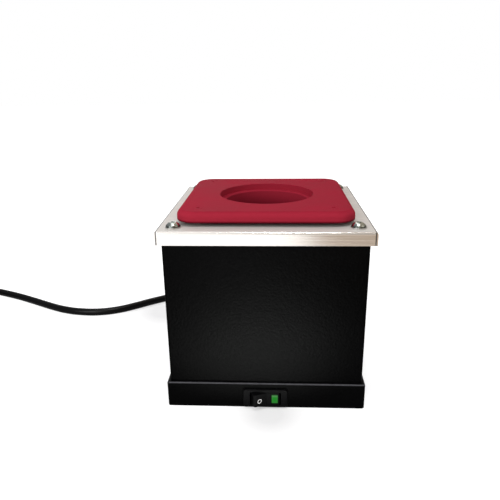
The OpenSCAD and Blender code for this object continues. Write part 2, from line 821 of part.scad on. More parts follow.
module switch_housing() {
    latch = 0.9;
    color("#1b1b1b") translate([0, bezel_y, switch_z]) difference() {
        union() {
            translate([0, bezel_t, 0]) rotate([90, 0, 0]) soft_slab(bezel_w, bezel_h, bezel_t, 1.8, 0.8);
            translate([-housing_w / 2, bezel_t - tiny, -housing_h / 2])
                cube([housing_w, housing_depth, housing_h]);
            for (s = [0, 180]) rotate([0, s, 0])
                translate([housing_w / 2 - tiny, bezel_t + base_t + 0.1, -2.5]) linear_extrude(5)
                    polygon([[0, 0], [latch, 0.4], [0, 6]]);
        }
        translate([-frame_half_w, -over, -frame_half_h])
            cube([2 * frame_half_w, chamber_depth + over, 2 * frame_half_h]);
        translate([0, pivot_depth, 0])
            cylinder(r = pivot_d / 2 + pivot_fit, h = 3 * housing_h, center = true);
        translate([lens_x, chamber_depth - tiny, 0]) rotate([-90, 0, 0]) cylinder(d = 5, h = 6.5);
    }
}

// The rocker's outline seen from above, with its right half pressed in and
// its axis at the origin
module rocker_outline() {
    half = rocker_swing / 2;
    tip = turned([rocker_reach, -pivot_depth], -half);
    heel = turned([rocker_reach, pivot_d / 2], -half);
    valley = [0, tip.y + tip.x * tan(half)];
    left_tip = [-tip.x, tip.y];
    left_heel = [-heel.x, heel.y];
    rotate(half) polygon([
        each eased(left_tip, left_heel, valley, rocker_tip_r), valley,
        each eased(tip, valley, heel, rocker_tip_r), heel,
        [heel.x - rocker_back, rocker_back], [-heel.x + rocker_back, rocker_back], left_heel,
    ]);
}

// The lit window's block, from the origin to the front
module window_block(length) {
    rotate([90, 0, 0]) linear_extrude(length) rounded_rect(lens_w, lens_h, lens_r);
}

module rocker() {
    pin_l = housing_h - 0.1;
    color("#141414") translate([0, pivot_y, switch_z]) {
        difference() {
            linear_extrude(rocker_h, center = true) rocker_outline();
            translate([lens_x, lens_back_y, 0]) window_block(lens_t + over);
        }
        cylinder(d = pivot_d, h = pin_l, center = true);
    }
}

module rocker_lens() {
    color("#2fae4a") translate([lens_x, pivot_y + lens_back_y, switch_z]) window_block(lens_t);
}

// The neon tube that stands in a pocket of the housing behind the window
module pilot_lamp() {
    color("#e0c8a0") translate([lens_x, bezel_y + chamber_depth + 1, switch_z]) rotate([-90, 0, 0])
        cylinder(d = 4.6, h = 5.3);
}

module at_tabs() {
    for (i = [-1:1])
        translate([i * tab_pitch, bezel_y + bezel_t + housing_depth - tiny, switch_z]) children();
}

module switch_tabs() {
    color("#c9a24a") at_tabs() translate([-tab_t / 2, 0, -tab_w / 2]) cube([tab_t, tab_l, tab_w]);
}

module tab_sockets() {
    color("#d8d8d8") at_tabs() translate([0, 1, 0]) difference() {
        translate([-1.5, 0, -tab_w / 2 - 0.6]) cube([3, socket_l, tab_w + 1.2]);
        translate([-tab_t / 2 - tiny, -over, -tab_w / 2 - tiny])
            cube([tab_t + 2 * tiny, tab_l + over, tab_w + 2 * tiny]);
    }
}

// ------------------------------------------------------------------ wiring

socket_y = bezel_y + bezel_t + housing_depth + 1 + socket_l;

module live_core() {
    color("#6b4226") wire([
        [-1.35, jacket_end_y, relief_z - 0.7], [-1.35, jacket_end_y - 3, relief_z - 0.7],
        [-2.2, jacket_end_y - 6, relief_z - 0.8], [-7, jacket_end_y - 12, relief_z - 1],
        [-20, jacket_end_y - 20, 8], [-38, 16, 8], [-38, -14, 7.5],
        [-22, -28, switch_z], [-tab_pitch - 1, socket_y + 12, switch_z],
        [-tab_pitch, socket_y + 5, switch_z], [-tab_pitch, socket_y + 2.5, switch_z],
        [-tab_pitch, socket_y, switch_z],
    ]);
}

module neutral_core() {
    color("#2f5fa8") wire([
        [0, jacket_end_y, relief_z + 1.45], [0, jacket_end_y - 3, relief_z + 1.45],
        [0, jacket_end_y - 6, relief_z + 1.5],
        [block.x - pole_wire_x, block.y + block_d / 2 + 8, block_wire_z],
        [block.x - pole_wire_x, block.y + block_d / 2 + 4, block_wire_z],
        [block.x - pole_wire_x, block.y + block_d / 2, block_wire_z],
    ]);
}

module earth_core() {
    color("#7fae2e") wire([
        [1.35, jacket_end_y, relief_z - 0.7], [1.35, jacket_end_y - 3, relief_z - 0.7],
        [2.2, jacket_end_y - 6, relief_z - 0.8], [10, jacket_end_y - 12, relief_z - 2],
        [30, jacket_end_y - 16, 6],
        [earth_at.x, earth_at.y + 19, 9], [earth_at.x, earth_at.y + 14, earth_tag_z + 0.4],
        [earth_at.x, earth_at.y + 11, earth_tag_z + 0.4], [earth_at.x, earth_at.y + 8, earth_tag_z + 0.4],
    ]);
}

module switch_lead() {
    pole_x = block.x + block_pitch;
    color("#6b4226") wire([
        [0, socket_y, switch_z], [0, socket_y + 3, switch_z], [0, socket_y + 6, switch_z],
        [pole_x, block.y - block_d / 2 - 8, block_wire_z],
        [pole_x, block.y - block_d / 2 - 4, block_wire_z], [pole_x, block.y - block_d / 2, block_wire_z],
    ]);
}

module lamp_lead() {
    color("#2f5fa8") wire([
        [tab_pitch, socket_y, switch_z], [tab_pitch, socket_y + 3, switch_z],
        [tab_pitch, socket_y + 6, switch_z],
        [6, -17, 4], [block.x, block.y - block_d / 2 - 8, block_wire_z],
        [block.x, block.y - block_d / 2 - 4, block_wire_z], [block.x, block.y - block_d / 2, block_wire_z],
    ]);
}

earth_tag_z = base_inner_z - 4.6;

module earth_stud() {
    color("#b8b8b8") translate([earth_at.x, earth_at.y, base_inner_z - earth_stud_l])
        cylinder(d = earth_stud_d, h = earth_stud_l);
}

module earth_nut() {
    color("#b8b8b8") translate([earth_at.x, earth_at.y, 0]) {
        translate([0, 0, earth_tag_z - 3.2]) hex_nut(7, 3.2, earth_stud_d);
        translate([0, 0, earth_tag_z + 0.8]) hex_nut(7, base_inner_z - earth_tag_z - 0.8, earth_stud_d);
    }
}

module earth_tag() {
    color("#d8d8d8") translate([earth_at.x, earth_at.y, earth_tag_z]) difference() {
        union() {
            cylinder(d = 8, h = 0.8);
            translate([-1.5, 0, 0]) cube([3, 8, 0.8]);
        }
        translate([0, 0, -over]) cylinder(d = earth_stud_d, h = 3);
    }
}

// -------------------------------------------------------------------- lead

// Collar, ribbed taper and thread in one moulding
module strain_relief() {
    ribs = 5;
    rib_w = 1.6;
    taper_l = relief_l - relief_collar_t;
    rib_pitch = taper_l / (ribs + 0.5);
    rib_step = (relief_thread_d - relief_end_d) / ribs;
    color("#181818") translate([0, relief_y, relief_z]) rotate([-90, 0, 0]) difference() {
        union() {
            translate([0, 0, -relief_thread_l]) cylinder(d = relief_thread_d, h = relief_thread_l + tiny);
            cylinder(d = relief_collar_d, h = relief_collar_t);
            translate([0, 0, relief_collar_t - tiny])
                cylinder(d1 = relief_thread_d - 1, d2 = relief_end_d - 1, h = taper_l);
            for (i = [1:ribs]) translate([0, 0, relief_collar_t + i * rib_pitch - rib_w / 2])
                cylinder(d = relief_thread_d + 0.4 - i * rib_step, h = rib_w);
        }
        translate([0, 0, -relief_thread_l - over])
            cylinder(d = cord_hole_d, h = relief_thread_l + relief_l + 2 * over);
    }
}

module relief_nut() {
    color("#181818") translate([0, relief_y - base_t, relief_z]) rotate([90, 30, 0])
        hex_nut(relief_nut_af, relief_nut_t, relief_thread_d + 0.1);
}

module cord_tail() {
    color("#101010") translate([0, jacket_end_y, relief_z]) rotate([-90, 0, 0])
        cylinder(d = cord_d, h = relief_y + relief_l - jacket_end_y);
}

// The free lead keeps its place behind the strain relief
module behind_relief() {
    translate([0, relief_y + relief_l - cord_route[0].y, 0]) children();
}

module power_cord() {
    color("#101010") behind_relief() swept(cord_route, cord_d, cord_sides);
}

module cord_coil() {
    w = coil_turns_wide * cord_d;
    h = coil_layers * cord_d;
    color("#101010") behind_relief() translate([coil_at.x, coil_at.y, coil_lift + h / 2]) rotate_extrude()
        translate([coil_mean_d / 2, 0]) rounded_rect(w, h, cord_d / 2);
}

module plug_lead() {
    color("#101010") behind_relief() swept(plug_lead_route, cord_d, cord_sides);
}

module at_plug() {
    behind_relief() translate([plug_at.x, plug_at.y, 0]) children();
}

// The two flats of the plug's side that the earth strips lie in
module at_clips() {
    for (side = [0, 180]) rotate(side)
        translate([-clip_w / 2, plug_face_d / 2 - 1.5 * clip_t, plug_h - clip_l]) children();
}

// A moulded angled plug that lies on its back, pins up
module plug_body() {
    back_taper_h = 2;
    grip_w = 1.4;
    grip_depth = 0.7;
    earth_hole_d = 5.2;
    earth_hole_l = 12;
    color("#161616") at_plug() {
        difference() {
            union() {
                cylinder(d1 = plug_back_d - 4, d2 = plug_back_d, h = back_taper_h);
                translate([0, 0, back_taper_h]) cylinder(d = plug_back_d, h = plug_back_h - back_taper_h);
                translate([0, 0, plug_back_h]) cylinder(d = plug_face_d, h = plug_h - plug_back_h);
            }
            for (z = [4.4, 7.6, 10.8]) translate([0, 0, z])
                tube(plug_back_d / 2 + over, plug_back_d / 2 - grip_depth, grip_w);
            at_clips() cube([clip_w, 2 * clip_t, clip_l + over]);
            translate([0, -plug_face_d / 4 - 1, plug_h - earth_hole_l])
                cylinder(d = earth_hole_d, h = earth_hole_l + over);
        }
        translate([0, plug_back_d / 2 - 1, plug_cord_z]) rotate([-90, 0, 0])
            cylinder(d1 = 15, d2 = cord_d + 2.5, h = plug_relief_l);
    }
}

module plug_pins() {
    tip = 1.2;
    color("#d6d6d6") at_plug() for (x = [-1, 1]) translate([x * pin_pitch / 2, 0, plug_h]) {
        cylinder(d = pin_d, h = pin_l - tip);
        translate([0, 0, pin_l - tip]) cylinder(d1 = pin_d, d2 = pin_d - 2 * tip, h = tip);
    }
}

module plug_clips() {
    color("#d6d6d6") at_plug() at_clips() cube([clip_w, clip_t, clip_l]);
}

base_pan();
bottom_plate();
bottom_brackets();
bottom_screws();
sleeve();
seam_strap();
corner_posts();
post_screws();
cover();
cover_screws();
cover_washers();
top_plate();
crucible();
plate_screws();
plate_spacers();
plate_nuts();
insulation_can();
insulation_blanket();
insulation_pad();
band_heater();
clamp_bolts();
clamp_nuts();
heater_bushes();
heater_studs();
heater_leads();
wire_grommet();
terminal_block();
terminal_screws();
block_screws();
switch_housing();
rocker();
rocker_lens();
pilot_lamp();
switch_tabs();
tab_sockets();
live_core();
neutral_core();
earth_core();
switch_lead();
lamp_lead();
earth_stud();
earth_nut();
earth_tag();
strain_relief();
relief_nut();
cord_tail();
power_cord();
cord_coil();
plug_lead();
plug_body();
plug_pins();
plug_clips();
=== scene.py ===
"""Looks of a bench solder pot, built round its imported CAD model."""

import math

import bpy
from mathutils import Matrix, Vector


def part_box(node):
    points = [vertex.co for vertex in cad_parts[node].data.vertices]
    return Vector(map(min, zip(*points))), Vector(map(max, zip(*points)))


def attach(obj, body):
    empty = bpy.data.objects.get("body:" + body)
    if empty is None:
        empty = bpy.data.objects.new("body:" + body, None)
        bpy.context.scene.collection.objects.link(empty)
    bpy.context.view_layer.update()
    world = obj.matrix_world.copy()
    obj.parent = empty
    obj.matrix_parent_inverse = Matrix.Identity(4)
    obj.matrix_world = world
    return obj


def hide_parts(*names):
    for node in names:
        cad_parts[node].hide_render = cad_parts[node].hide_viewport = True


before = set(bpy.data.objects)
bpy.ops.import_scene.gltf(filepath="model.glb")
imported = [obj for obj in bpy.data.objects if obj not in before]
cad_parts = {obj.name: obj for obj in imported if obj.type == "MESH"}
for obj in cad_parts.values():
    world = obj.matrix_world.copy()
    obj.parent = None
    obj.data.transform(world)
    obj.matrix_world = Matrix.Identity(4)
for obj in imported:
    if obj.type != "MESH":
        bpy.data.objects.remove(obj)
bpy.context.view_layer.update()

bl_info = {
    "name": "Solder Pot",
    "version": (1, 0, 0),
    "blender": (4, 5, 0),
    "location": "View3D > Sidebar > Solder Pot",
    "description": "Finishes, lead, switch mark and studio for a bench solder pot",
    "category": "Add Mesh",
}

MM = 0.001
MICRON = 1e-6
CASE, ROCKER = "case", "rocker"

# The lead's route in millimetres, as the CAD model has it, but a tenth higher on
# the table: out of the strain relief, down and round to the left as far as the coil.
LEAD_ROUTE = [
    (0, 97, 9.5), (0, 102, 9.5), (0, 107.5, 9.5), (-1, 117, 8), (-5, 128, 5.6), (-12, 137, 4),
    (-21, 142.5, 3.5), (-33, 145, 3.5), (-47, 143, 3.5), (-62, 135, 3.5), (-78, 126, 3.5),
    (-93, 117, 3.5), (-107, 108, 3.5), (-121, 98.5, 3.5), (-134, 88.5, 3.5), (-148, 79.5, 3.5),
    (-165, 74, 3.5), (-184, 74, 3.5), (-201, 78, 3.5), (-217, 85, 3.5), (-233, 93.5, 3.5),
    (-249, 102, 3.5), (-264, 109.5, 3.5), (-279, 116, 3.5), (-293.5, 122, 3.5), (-308, 128.5, 3.5),
]
PLUG_ROUTE = [(-391.5, 72, 10), (-389.6, 64, 10), (-388.5, 57, 10), (-388, 51, 10), (-388, 46, 10)]
# The stored coil, in millimetres and degrees: its middle, the height of its lower
# layer, its outer radius, how far in each turn lies from the one before, where it
# starts and ends, and how far its two ends swing out of the round.
COIL_CENTRE = (-341.5, 87.5)
COIL_HEIGHT = 3.5
COIL_RADIUS = 45.8
COIL_STEP = 7.2
COIL_ANGLES = (68, 190)
COIL_SWING = 5.0
POINTS_PER_TURN = 16
# The printed ring, in millimetres and degrees: its middle from the rocker's lowest
# corner, its radius and half the width of its stroke, its stretch, how far it leans,
# and the slope of the facet under it.
RING_PLACE = (6.06, 1.17, 4.83)
RING_RADIUS = 1.27
RING_STROKE = 0.27
RING_STRETCH = (0.96, 1.16, 0.08)
RING_LEAN = -32
RING_SLOPE = 24
# How far the slit at each end of the front and back flanges is from the cover's side.
SLIT_INSET = 1.4
BRASS = (0.62, 0.42, 0.17)
TIN = (0.62, 0.62, 0.60)

# Places on the table, in metres: under the switch and beside the lead where it comes out
# from behind the case, where the glow is weaker to paint soft shadows, and the middle of the
# painted pool of light that the sleeve reflects.
SWITCH_FOOT = (0.003, -0.078, 0)
LEAD_FOOT = (-0.103, 0.083, 0)
POOL_CENTRE = (-0.01, -0.165, 0)
TABLE_SIZE = 8
# What reflections see of the room, from the left, at 0, to the right, at 1.
ROOM_TONES = (
    (0.0, (0.2, 0.2, 0.21)), (0.33, (0.3, 0.3, 0.3)), (0.37, (1.6, 1.58, 1.56)),
    (0.43, (1.4, 1.38, 1.35)), (0.5, (0.95, 0.91, 0.85)), (0.62, (0.38, 0.31, 0.24)),
    (1.0, (0.3, 0.27, 0.23)),
)


# ---------------------------------------------------------------- sizes


class PotFinishes(bpy.types.PropertyGroup):
    """Colours of the pot's coatings, metals and plastics"""

    red_coat: bpy.props.FloatVectorProperty(
        name="Red coat", description="Heat-proof coating of the top plate and crucible",
        subtype="COLOR", size=3, min=0, max=1, default=(0.33, 0.0165, 0.036))
    black_coat: bpy.props.FloatVectorProperty(
        name="Black coat", description="Powder coat of the sleeve and base",
        subtype="COLOR", size=3, min=0, max=1, default=(0.0018, 0.0018, 0.0020))
    steel: bpy.props.FloatVectorProperty(
        name="Steel", description="Brushed stainless steel of the cover",
        subtype="COLOR", size=3, min=0, max=1, default=(0.74, 0.715, 0.69))
    window: bpy.props.FloatVectorProperty(
        name="Window", description="Lit green window of the rocker",
        subtype="COLOR", size=3, min=0, max=1, default=(0.004, 0.21, 0.008))
    plastic: bpy.props.FloatVectorProperty(
        name="Plastic", description="Black plastic of the switch, lead and plug",
        subtype="COLOR", size=3, min=0, max=1, default=(0.0030, 0.0030, 0.0033))


class LeadSizes(bpy.types.PropertyGroup):
    """Sizes of the mains lead"""

    diameter: bpy.props.FloatProperty(
        name="Diameter", description="Outer diameter of the lead",
        default=0.007, min=0.005, max=0.008, unit="LENGTH")
    length: bpy.props.FloatProperty(
        name="Length", description="Length from the strain relief to the plug",
        default=1.5, min=0.5, max=3, unit="LENGTH")
    coil_turns: bpy.props.IntProperty(
        name="Coil turns", description="Whole turns of the stored coil", default=4, min=2, max=5)


class StudioSizes(bpy.types.PropertyGroup):
    """Camera and lamps"""

    camera_place: bpy.props.FloatVectorProperty(
        name="Camera", description="Place of the camera", subtype="TRANSLATION", size=3,
        default=(0.0063, -0.3749, 0.2211))
    camera_turn: bpy.props.FloatVectorProperty(
        name="Camera turn", description="Yaw to the left, pitch down and roll of the camera",
        subtype="EULER", size=3,
        default=(math.radians(2.94), math.radians(18.79), math.radians(-0.77)))
    focal_length: bpy.props.FloatProperty(
        name="Focal length", description="Focal length in millimetres on a 36 mm sensor",
        default=36.83, min=20, max=120)
    key_power: bpy.props.FloatProperty(
        name="Key lamp", description="Power of the window-like lamp, in watts",
        default=2.2, min=0, max=40)


# ------------------------------------------------------------- finishes


class Finish:
    """A material being made: its nodes and its surface shader"""

    def __init__(self, name, colour, metallic=0.0, roughness=0.5, specular=0.5):
        self.colour = colour
        self.material = bpy.data.materials.new(name)
        self.material.use_nodes = True
        self.tree = self.material.node_tree
        self.skin = self.tree.nodes["Principled BSDF"]
        self.set("Base Color", (*colour, 1))
        self.set("Metallic", metallic)
        self.set("Roughness", roughness)
        self.set("Specular IOR Level", specular)
        self.material.diffuse_color = (*colour, 1)

    def set(self, socket, value):
        self.skin.inputs[socket].default_value = value

    def node(self, kind, **settings):
        made = self.tree.nodes.new("ShaderNode" + kind)
        for name, value in settings.items():
            setattr(made, name, value)
        return made

    def join(self, output, socket):
        self.tree.links.new(output, socket)

    def drive(self, output, socket):
        self.join(output, self.skin.inputs[socket])

    def coords(self, stretch=(1, 1, 1)):
        """Object coordinates, stretched along the axes"""
        where = self.node("TexCoord")
        mapping = self.node("Mapping")
        mapping.inputs["Scale"].default_value = stretch
        self.join(where.outputs["Object"], mapping.inputs["Vector"])
        return mapping.outputs["Vector"]

    def noise(self, scale, detail=2.0, roughness=0.5, stretch=(1, 1, 1)):
        grain = self.node("TexNoise")
        grain.inputs["Scale"].default_value = scale
        grain.inputs["Detail"].default_value = detail
        grain.inputs["Roughness"].default_value = roughness
        self.join(self.coords(stretch), grain.inputs["Vector"])
        return grain.outputs["Fac"]

    def cells(self, scale):
        cell = self.node("TexVoronoi")
        cell.inputs["Scale"].default_value = scale
        self.join(self.coords(), cell.inputs["Vector"])
        return cell.outputs["Distance"]

    def spread(self, value, low, high, out_low=0.0, out_high=1.0):
        """A value's span from low to high, spread over another span"""
        span = self.node("MapRange")
        for name, number in (
            ("From Min", low), ("From Max", high), ("To Min", out_low), ("To Max", out_high)
        ):
            span.inputs[name].default_value = number
        self.join(value, span.inputs["Value"])
        return span.outputs["Result"]

    def math(self, operation, a, b=None):
        result = self.node("Math", operation=operation)
        for socket, value in zip(result.inputs, (a, b)):
            if value is None:
                continue
            if isinstance(value, (int, float)):
                socket.default_value = value
            else:
                self.join(value, socket)
        return result.outputs["Value"]

    def blend(self, factor, first, second):
        """A colour between two, which are colours or outputs"""
        mixer = self.node("Mix", data_type="RGBA")
        self.join(factor, mixer.inputs["Factor"])
        for socket, value in ((mixer.inputs["A"], first), (mixer.inputs["B"], second)):
            if isinstance(value, bpy.types.NodeSocket):
                self.join(value, socket)
            else:
                socket.default_value = (*value[:3], 1)
        return mixer.outputs["Result"]

    def mottle(self, value, low, high, dark, light):
        """The finish's colour, from one share of it to another as a value goes from low to high"""
        return self.blend(self.spread(value, low, high), shade(self.colour, dark), shade(self.colour, light))

    def place(self):
        """The surface point's object coordinates, as separate outputs"""
        parts = self.node("SeparateXYZ")
        self.join(self.coords(), parts.inputs["Vector"])
        return parts.outputs

    def distance(self, point):
        """How far the surface point is from a point, in metres"""
        apart = self.node("VectorMath", operation="DISTANCE")
        self.join(self.coords(), apart.inputs[0])
        apart.inputs[1].default_value = point
        return apart.outputs["Value"]

    def facing(self):
        """Where the surface faces, as separate outputs: Z is 1 on a flat top and 0 on a side"""
        geometry = self.node("NewGeometry")
        parts = self.node("SeparateXYZ")
        self.join(geometry.outputs["True Normal"], parts.inputs["Vector"])
        return parts.outputs

    def bump(self, height, distance, strength, over=None):
        """A relief as deep as distance, laid over another where one is given"""
        relief = self.node("Bump")
        relief.inputs["Distance"].default_value = distance
        relief.inputs["Strength"].default_value = strength
        self.join(height, relief.inputs["Height"])
        if over is not None:
            self.join(over, relief.inputs["Normal"])
        self.drive(relief.outputs["Normal"], "Normal")
        return relief.outputs["Normal"]


def shade(colour, share):
    """A colour made lighter or darker"""
    return tuple(min(1.0, c * share) for c in colour)


def powder_coat(name, colour, grain):
    """Structured black powder coat: a fine leathery relief, with a painted highlight of patchy lighter grey
    on bends that face up
    """
    coat = Finish(name, colour, roughness=0.42, specular=0.03)
    leather = coat.noise(grain, detail=3, roughness=0.62)
    creases = coat.spread(leather, 0.36, 0.64)
    pores = coat.noise(grain * 3.1, detail=1)
    coat.bump(creases, 100 * MICRON, 0.7, coat.bump(pores, 30 * MICRON, 0.5))
    skin = coat.mottle(coat.noise(18, detail=2), 0.3, 0.7, 0.45, 0.8)
    rise = coat.facing()["Z"]
    # Painted highlight: bends that face up are painted a patchy lighter grey, standing in for the light they
    # catch
    bend = coat.math("MULTIPLY", coat.spread(rise, 0.35, 0.6), coat.spread(rise, 0.97, 0.85))
    painted_bend_highlight = coat.math("MULTIPLY", bend, coat.spread(coat.noise(160, detail=3), 0.2, 0.6, 0.55, 1.0))
    coat.drive(coat.blend(painted_bend_highlight, skin, shade(colour, 50)), "Base Color")
    coat.drive(coat.spread(leather, 0.3, 0.7, 0.26, 0.4), "Roughness")
    return coat.material


def brushed_steel(name, colour, slit):
    """Stainless sheet, ground along X: matt on its flat top and brighter on its rolled
    edges. Its folded sides carry the grain down. Their bends get a painted dark reflection, and the
    front and back get painted seam shade by the slits, which are as far as slit from the middle."""
    steel = Finish(name, colour, metallic=0.78, roughness=0.4, specular=0.3)
    lines = 1500.0
    along = steel.noise(lines, detail=3, roughness=0.6, stretch=(0.012, 1, 1))
    down = steel.noise(lines, detail=3, roughness=0.6, stretch=(0.012, 1, 0.012))
    facing = steel.facing()
    aside = steel.math("ABSOLUTE", facing["X"])
    on_side = steel.spread(aside, 0.6, 0.8)
    lines_here = steel.math("ADD", steel.math("MULTIPLY", down, on_side),
                            steel.math("MULTIPLY", along, steel.math("SUBTRACT", 1.0, on_side)))
    wide = steel.noise(160, detail=2, stretch=(0.03, 1, 1))
    tone = steel.math("ADD", steel.math("MULTIPLY", lines_here, 0.7), steel.math("MULTIPLY", wide, 0.3))
    # Painted dark reflection on the side bends, and painted shade in the corner seams by the slits
    bend = steel.math("MULTIPLY", steel.spread(aside, 0.12, 0.3), steel.spread(aside, 0.99, 0.93))
    across = steel.math("ABSOLUTE", steel.place()["X"])
    by_slit = steel.math("MULTIPLY", steel.spread(across, slit - 0.55 * MM, slit - 0.05 * MM),
                         steel.spread(across, slit + 0.55 * MM, slit + 0.35 * MM))
    in_front = steel.spread(steel.math("ABSOLUTE", facing["Y"]), 0.8, 0.95)
    painted_dark_lines = steel.math("MAXIMUM", bend, steel.math("MULTIPLY", by_slit, in_front))
    ground = steel.mottle(tone, 0.36, 0.64, 0.88, 1.08)
    steel.drive(steel.blend(painted_dark_lines, ground, shade(colour, 0.12)), "Base Color")
    matt = steel.spread(facing["Z"], 0.93, 0.995, 0.18, 0.62)
    steel.drive(steel.math("ADD", matt, steel.spread(tone, 0.3, 0.7, -0.04, 0.08)), "Roughness")
    steel.drive(steel.spread(facing["Z"], 0.93, 0.995, 0.8, 0.5), "Metallic")
    steel.bump(lines_here, 12 * MICRON, 0.6)
    return steel.material


def heat_coat(name, colour, painted_shade_span=None):
    """Satin red heat-proof coating with a fine grain, slight clouding and specks of dust.
    Where two heights are given, it is painted darker downwards between them, as painted shade, and its sides
    are painted lighter, as painted light."""
    coat = Finish(name, colour, roughness=0.6, specular=0.008)
    grain = coat.bump(coat.noise(1400, detail=2), 30 * MICRON, 0.45)
    coat.bump(coat.noise(120, detail=2), 60 * MICRON, 0.35, grain)
    cloud = coat.noise(28, detail=4, roughness=0.6)
    dust = coat.spread(coat.noise(900, detail=2), 0.66, 0.78, 0.0, 0.35)
    dusty = tuple(c * 0.75 + 0.05 for c in colour)
    skin = coat.blend(dust, coat.mottle(cloud, 0.32, 0.68, 0.9, 1.08), dusty)
    if painted_shade_span:
        # Painted light: sides lighter than the top. Painted shade: darker downwards between the given
        # heights
        sides = tuple(c * 1.04 + 0.003 for c in colour)
        skin = coat.blend(coat.spread(coat.facing()["Z"], 0.97, 0.7), skin, sides)
        shaded_red = (colour[0] * 0.22, colour[1] * 0.08, colour[2] * 0.18)
        skin = coat.blend(coat.spread(coat.place()["Z"], *painted_shade_span), shaded_red, skin)
    coat.drive(skin, "Base Color")
    coat.drive(coat.spread(cloud, 0.3, 0.7, 0.48, 0.6), "Roughness")
    return coat.material


def bright_metal(name, colour, roughness, painted_shade_heights=None):
    """Plated screws and pins: bright, with faint turning marks and wear.
    Painted shade darkens them downwards between the two heights given for it, where they are given."""
    metal = Finish(name, colour, metallic=1.0, roughness=roughness)
    wear = metal.noise(700, detail=3, roughness=0.6)
    skin = metal.mottle(wear, 0.35, 0.7, 0.82, 1.05)
    if painted_shade_heights:
        # Painted shade: darker towards the lower of the two heights
        skin = metal.blend(metal.spread(metal.place()["Z"], *painted_shade_heights), shade(colour, 0.06), skin)
    metal.drive(skin, "Base Color")
    metal.drive(metal.spread(wear, 0.3, 0.7, roughness * 0.8, roughness * 1.5), "Roughness")
    metal.bump(metal.noise(2600, detail=1), 10 * MICRON, 0.15)
    return metal.material


def zinc_plate(name, colour=(0.52, 0.52, 0.50)):
    """Dull zinc-plated sheet and fasteners"""
    zinc = Finish(name, colour, metallic=1.0, roughness=0.4)
    spangle = zinc.cells(240)
    tone = zinc.noise(90, detail=3)
    mixed = zinc.math("ADD", zinc.math("MULTIPLY", spangle, 0.4), zinc.math("MULTIPLY", tone, 0.6))
    zinc.drive(zinc.mottle(mixed, 0.3, 0.7, 0.8, 1.12), "Base Color")
    zinc.drive(zinc.spread(tone, 0.3, 0.7, 0.32, 0.5), "Roughness")
    return zinc.material


def moulded_plastic(name, colour, roughness=0.38, grain=1800.0, specular=0.4):
    """Moulded or extruded plastic with a fine spark-eroded grain"""
    plastic = Finish(name, colour, roughness=roughness, specular=specular)
    grains = plastic.noise(grain, detail=2, roughness=0.6)
    plastic.bump(grains, 20 * MICRON, 0.5)
    plastic.drive(plastic.mottle(plastic.noise(60, detail=2), 0.3, 0.7, 0.88, 1.15), "Base Color")
    plastic.drive(plastic.spread(grains, 0.3, 0.7, roughness * 0.9, roughness * 1.15), "Roughness")
    return plastic.material


def painted_glow_window(name, colour, low, high):
    """Clear green plastic with fine ribs inside and a painted glow: paler towards its edges, lighter in a
    band at the top and dark at its rim.
    low and high are the corners of its box."""
    window = Finish(name, colour, roughness=0.2, specular=0.12)
    ribs = window.node("TexWave", wave_type="BANDS", bands_direction="X")
    ribs.inputs["Scale"].default_value = 520
    window.join(window.coords(), ribs.inputs["Vector"])
    place = window.place()
    shares = []
    for axis in (0, 2):
        middle = (low[axis] + high[axis]) / 2
        off = window.math("ABSOLUTE", window.math("SUBTRACT", place[axis], middle))
        shares.append(window.math("DIVIDE", off, (high[axis] - low[axis]) / 2))
    edge = window.math("MAXIMUM", *shares)
    # Painted light: the glow, paler towards the edges, lighter in a band at the top and dark at the rim
    pale = tuple(c * 0.75 + 0.025 for c in colour)
    glow = window.blend(window.spread(edge, 0.3, 0.8), colour, pale)
    tall = high[2] - low[2]
    top = window.spread(place["Z"], low[2] + 0.7 * tall, low[2] + 0.9 * tall)
    painted_top_band = window.blend(top, glow, tuple(c + 0.055 for c in pale))
    painted_glow = window.blend(window.spread(edge, 0.78, 0.94), painted_top_band, shade(colour, 0.2))
    ribbed = window.blend(ribs.outputs["Fac"], shade(colour, 0.12), shade(colour, 0.3))
    window.drive(ribbed, "Base Color")
    window.drive(painted_glow, "Emission Color")
    window.set("Emission Strength", 0.85)
    window.bump(ribs.outputs["Fac"], 30 * MICRON, 0.4)
    return window.material


def fibre_felt(name, colour):
    """Ceramic fibre: matt white with tangled strands"""
    felt = Finish(name, colour, roughness=0.95, specular=0.1)
    strands = felt.noise(650, detail=5, roughness=0.75, stretch=(1, 0.35, 1))
    felt.bump(strands, 400 * MICRON, 0.9)
    felt.drive(felt.mottle(strands, 0.3, 0.7, 0.82, 1.06), "Base Color")
    return felt.material


def woven_sleeving(name, colour):
    """Woven glass sleeving on the heater's leads"""
    sleeve = Finish(name, colour, roughness=0.8, specular=0.2)
    weave = sleeve.node("TexChecker")
    weave.inputs["Scale"].default_value = 900
    sleeve.join(sleeve.coords(), weave.inputs["Vector"])
    sleeve.bump(weave.outputs["Fac"], 100 * MICRON, 0.5)
    sleeve.drive(sleeve.blend(weave.outputs["Fac"], shade(colour, 0.84), colour), "Base Color")
    return sleeve.material


def striped_wire(name, first, second):
    """Two-coloured insulation of the earth wire"""
    wire = Finish(name, first, roughness=0.45)
    bands = wire.node("TexWave", wave_type="BANDS", bands_direction="DIAGONAL")
    bands.inputs["Scale"].default_value = 60
    wire.join(wire.coords(), bands.inputs["Vector"])
    wire.drive(wire.blend(wire.spread(bands.outputs["Fac"], 0.45, 0.55), first, second), "Base Color")
    return wire.material


def clear_glass(name):
    """The neon lamp's glass"""
    glass = Finish(name, (0.95, 0.85, 0.75), roughness=0.05)
    glass.set("Transmission Weight", 0.9)
    glass.bump(glass.noise(300, detail=1), 20 * MICRON, 0.3)
    return glass.material


# -------------------------------------------------------------- shaping


def only(piece):
    """Deselects everything and makes one object the active one"""
    bpy.ops.object.select_all(action="DESELECT")
    piece.select_set(True)
    bpy.context.view_layer.objects.active = piece


def dress(material, *nodes):
    """Gives CAD nodes a finish"""
    for name in nodes:
        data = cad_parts[name].data
        data.materials.clear()
        data.materials.append(material)


